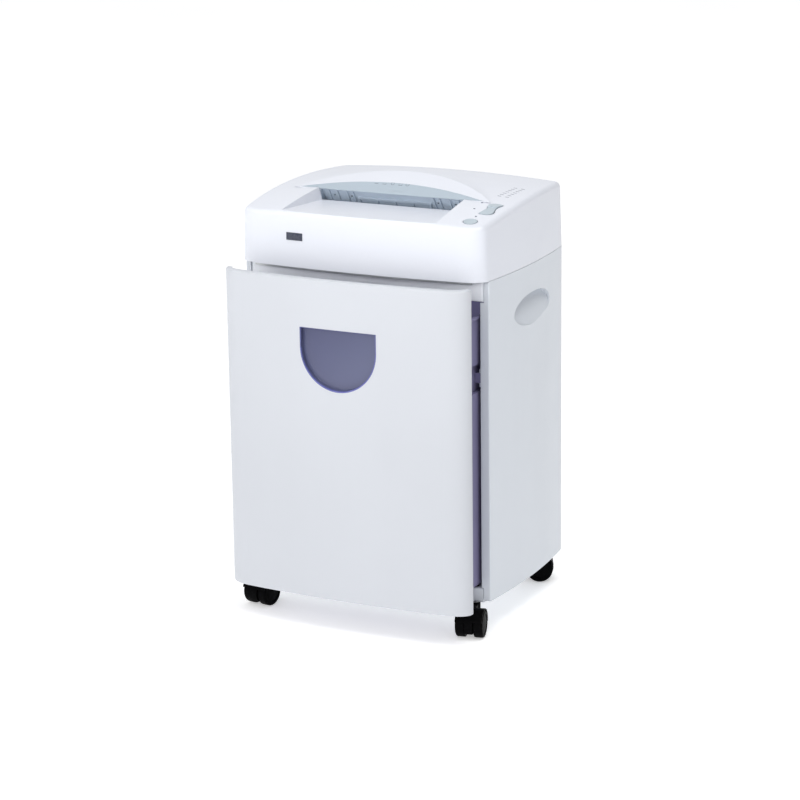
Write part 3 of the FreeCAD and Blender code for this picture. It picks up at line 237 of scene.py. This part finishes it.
# these parts get lit and shaded copies of the white and grey plastics, that is painted light and painted shade
by_node = {"head_cover": "head_white_painted_light", "feed_hood": "head_white_painted_light", "drawer_front": "drawer_white_painted_shade",
           "hood_fascia": "fascia_grey_painted_shade", "throat_rear_guide": "throat_grey_painted_shade", "throat_front_guide": "throat_grey_painted_shade",
           "front_top_rail": "rail_white_painted_light"}
slot_of = {s["node"]: s["material_slot"] for s in frame["record"]["subparts"]}
for name, o in nodes.items():
    mat = M[by_node.get(name, slot_of[name])]
    for s in o.material_slots:
        s.material = mat


# ------------------------------------------------------------------ printed marks
INK = 0.00012                     # print thickness above the moulding
Y_FRONT = -0.104                  # front plane of the side panels in the row frame
ABOVE = 0.75                      # height that marks are dropped from, clear of the top
# fascia pictograms: middle of each and whether it is round, then half sizes outside and inside the line, mm
ICONS = ((-30.0, False), (-17.0, False), (-4.0, True), (9.0, False), (20.0, True))
ICON_Y, ICON_OUT, ICON_IN = 96.5, (3.0, 1.9), (2.4, 1.4)
# dashes on the top: two columns of seven, mm
DASH_X, DASH_Y, DASH_PITCH, DASH_COUNT, DASH_HALF = (156.0, 168.0), 120.0, 9.0, 7, (2.8, 0.7)


def surface_points(node, pts):
    """Points (x from the middle, y back from the front plane, in mm) dropped on to the top of one moulding."""
    o = nodes[node]
    tree = BVHTree.FromObject(o, bpy.context.evaluated_depsgraph_get())
    inv = o.matrix_world.inverted()
    out = []
    for x, y in pts:
        start = inv @ Vector((x / 1000, Y_FRONT + y / 1000, ABOVE))
        hit = tree.ray_cast(start, (inv.to_3x3() @ Vector((0, 0, -1))).normalized())[0]
        if hit is None:
            raise ValueError("a printed mark misses " + node)
        out.append(o.matrix_world @ hit)
    return out


def loop(cx, cy, rx, ry, n=24, square=False):
    """Closed outline round a centre, in mm: an ellipse, or a rectangle when square is set."""
    if square:
        return [(cx - rx, cy - ry), (cx + rx, cy - ry), (cx + rx, cy + ry), (cx - rx, cy + ry)]
    return [(cx + rx * math.cos(2 * math.pi * i / n), cy + ry * math.sin(2 * math.pi * i / n)) for i in range(n)]


def printed(name, node, shapes):
    """Thin pads of ink. Each shape is (outer, inner): a ring when inner is given, else a filled outline."""
    bm = bmesh.new()
    for outer, inner in shapes:
        rings = [surface_points(node, r) for r in ([outer, inner] if inner else [outer])]
        tops = [[bm.verts.new(p + Vector((0, 0, INK))) for p in r] for r in rings]
        feet = [[bm.verts.new(p - Vector((0, 0, INK))) for p in r] for r in rings]
        n = len(outer)
        for k in range(n):
            j = (k + 1) % n
            bm.faces.new((feet[0][k], feet[0][j], tops[0][j], tops[0][k]))
            if inner:
                bm.faces.new((tops[0][k], tops[0][j], tops[1][j], tops[1][k]))
                bm.faces.new((tops[1][k], tops[1][j], feet[1][j], feet[1][k]))
                bm.faces.new((feet[1][k], feet[1][j], feet[0][j], feet[0][k]))
        if not inner:
            bm.faces.new(tops[0])
            bm.faces.new(feet[0][::-1])
    bmesh.ops.recalc_face_normals(bm, faces=bm.faces)
    me = bpy.data.meshes.new(name)
    bm.to_mesh(me)
    bm.free()
    o = bpy.data.objects.new(name, me)
    bpy.context.scene.collection.objects.link(o)
    me.materials.append(M["print_grey"])
    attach(o, "frame")


M["print_grey"] = plastic("print_grey", lin(104, 111, 126), 0.5, 900, 0.02, 0.05)
printed("fascia_icons", "hood_fascia",
        [(loop(x, ICON_Y, *ICON_OUT, square=not round_icon), loop(x, ICON_Y, *ICON_IN, square=not round_icon))
         for x, round_icon in ICONS])
printed("top_marks", "head_cover",
        [(loop(x, DASH_Y + DASH_PITCH * k, *DASH_HALF, square=True), None) for k in range(DASH_COUNT) for x in DASH_X])


# ------------------------------------------------------------------ floor, light, camera
def stage_floor():
    me = bpy.data.meshes.new("floor")
    bm = bmesh.new()
    bmesh.ops.create_grid(bm, x_segments=2, y_segments=2, size=9.0)
    bm.to_mesh(me)
    bm.free()
    o = bpy.data.objects.new("floor", me)
    bpy.context.scene.collection.objects.link(o)
    t = Tree("floor")
    base = t.mix(t.span(t.noise(2.0, 3.0), 0.3, 0.7), (0.93, 0.93, 0.93), (0.96, 0.96, 0.96))
    t.link(base, t.bsdf.inputs["Base Color"])
    t.link(t.span(t.noise(8.0, 3.0), 0.3, 0.7, 0.75, 0.85), t.bsdf.inputs["Roughness"])
    t.bsdf.inputs["Emission Color"].default_value = (1.0, 1.0, 1.0, 1.0)
    t.bsdf.inputs["Emission Strength"].default_value = 0.38
    o.data.materials.append(t.mat)


stage_floor()


def area(name, loc, target, size, power, colour=(1, 1, 1), hidden=False, spread=180):
    d = bpy.data.lights.new(name, "AREA")
    d.shape = "RECTANGLE"
    d.size, d.size_y = size
    d.energy = power
    d.color = colour
    d.spread = math.radians(spread)
    o = bpy.data.objects.new(name, d)
    o.location = loc
    o.visible_camera = not hidden
    o.visible_glossy = not hidden
    o.rotation_euler = (Vector(target) - Vector(loc)).to_track_quat("-Z", "Y").to_euler()
    bpy.context.scene.collection.objects.link(o)


def studio():
    """White studio dome: bright from the left round to the back and front, dim on the object's right-hand side."""
    world = bpy.data.worlds.new("studio")
    world.use_nodes = True
    nt = world.node_tree
    bg = nt.nodes["Background"]
    geo = nt.nodes.new("ShaderNodeTexCoord")
    sep = nt.nodes.new("ShaderNodeSeparateXYZ")
    nt.links.new(geo.outputs["Generated"], sep.inputs[0])
    side = nt.nodes.new("ShaderNodeMapRange")
    side.inputs["From Min"].default_value = -0.1
    side.inputs["From Max"].default_value = 1.0
    side.inputs["To Min"].default_value = DOME
    side.inputs["To Max"].default_value = DOME_SIDE
    nt.links.new(sep.outputs["X"], side.inputs["Value"])
    nt.links.new(side.outputs[0], bg.inputs["Strength"])
    bg.inputs["Color"].default_value = (0.985, 0.99, 1.0, 1.0)
    bpy.context.scene.world = world


DOME, DOME_SIDE = 0.82, 0.12      # brightness of the dome at the left and at the right
WARM = (1.0, 0.995, 0.99)
studio()
area("front", (0.2, -3.0, 1.6), (0, 0, 0.36), (2.4, 2.0), 28, WARM)
area("head front", (-0.15, -1.5, 0.95), (0, 0, 0.66), (0.6, 0.25), 0.26, WARM, spread=44)
area("upper right", (1.1, -0.5, 2.9), (0, 0, 0.5), (1.4, 1.4), 29)
# helper inside the cabinet that lights the gap beside the ajar drawer; it is no part of the object
area("inside", (0, -0.02, 0.512), (0, -0.02, 0.1), (0.24, 0.10), 0.2, (0.95, 0.96, 1.0), hidden=True)

# camera: orbit about a point on the object, long lens
AZ, EL, ROLL = math.radians(27.838), math.radians(14.635), math.radians(-0.754)
DIST, LENS = 4.08985, 126.845
back = Vector((math.sin(AZ) * math.cos(EL), -math.cos(AZ) * math.cos(EL), math.sin(EL)))
right = Vector((math.cos(AZ), math.sin(AZ), 0.0))
up = back.cross(right)
aim = Vector((0.0, Y_FRONT, 0.3)) + right * 0.047852 + up * 0.027067
r2 = right * math.cos(ROLL) + up * math.sin(ROLL)
u2 = up * math.cos(ROLL) - right * math.sin(ROLL)
cam_data = bpy.data.cameras.new("camera")
cam_data.lens = LENS
cam_data.sensor_width = 36.0
cam_data.clip_end = 50.0
cam = bpy.data.objects.new("camera", cam_data)
m = Matrix((r2, u2, back)).transposed().to_4x4()
m.translation = aim + back * DIST
cam.matrix_world = m
bpy.context.scene.collection.objects.link(cam)
bpy.context.scene.camera = cam
bpy.context.scene.view_settings.view_transform = "Standard"
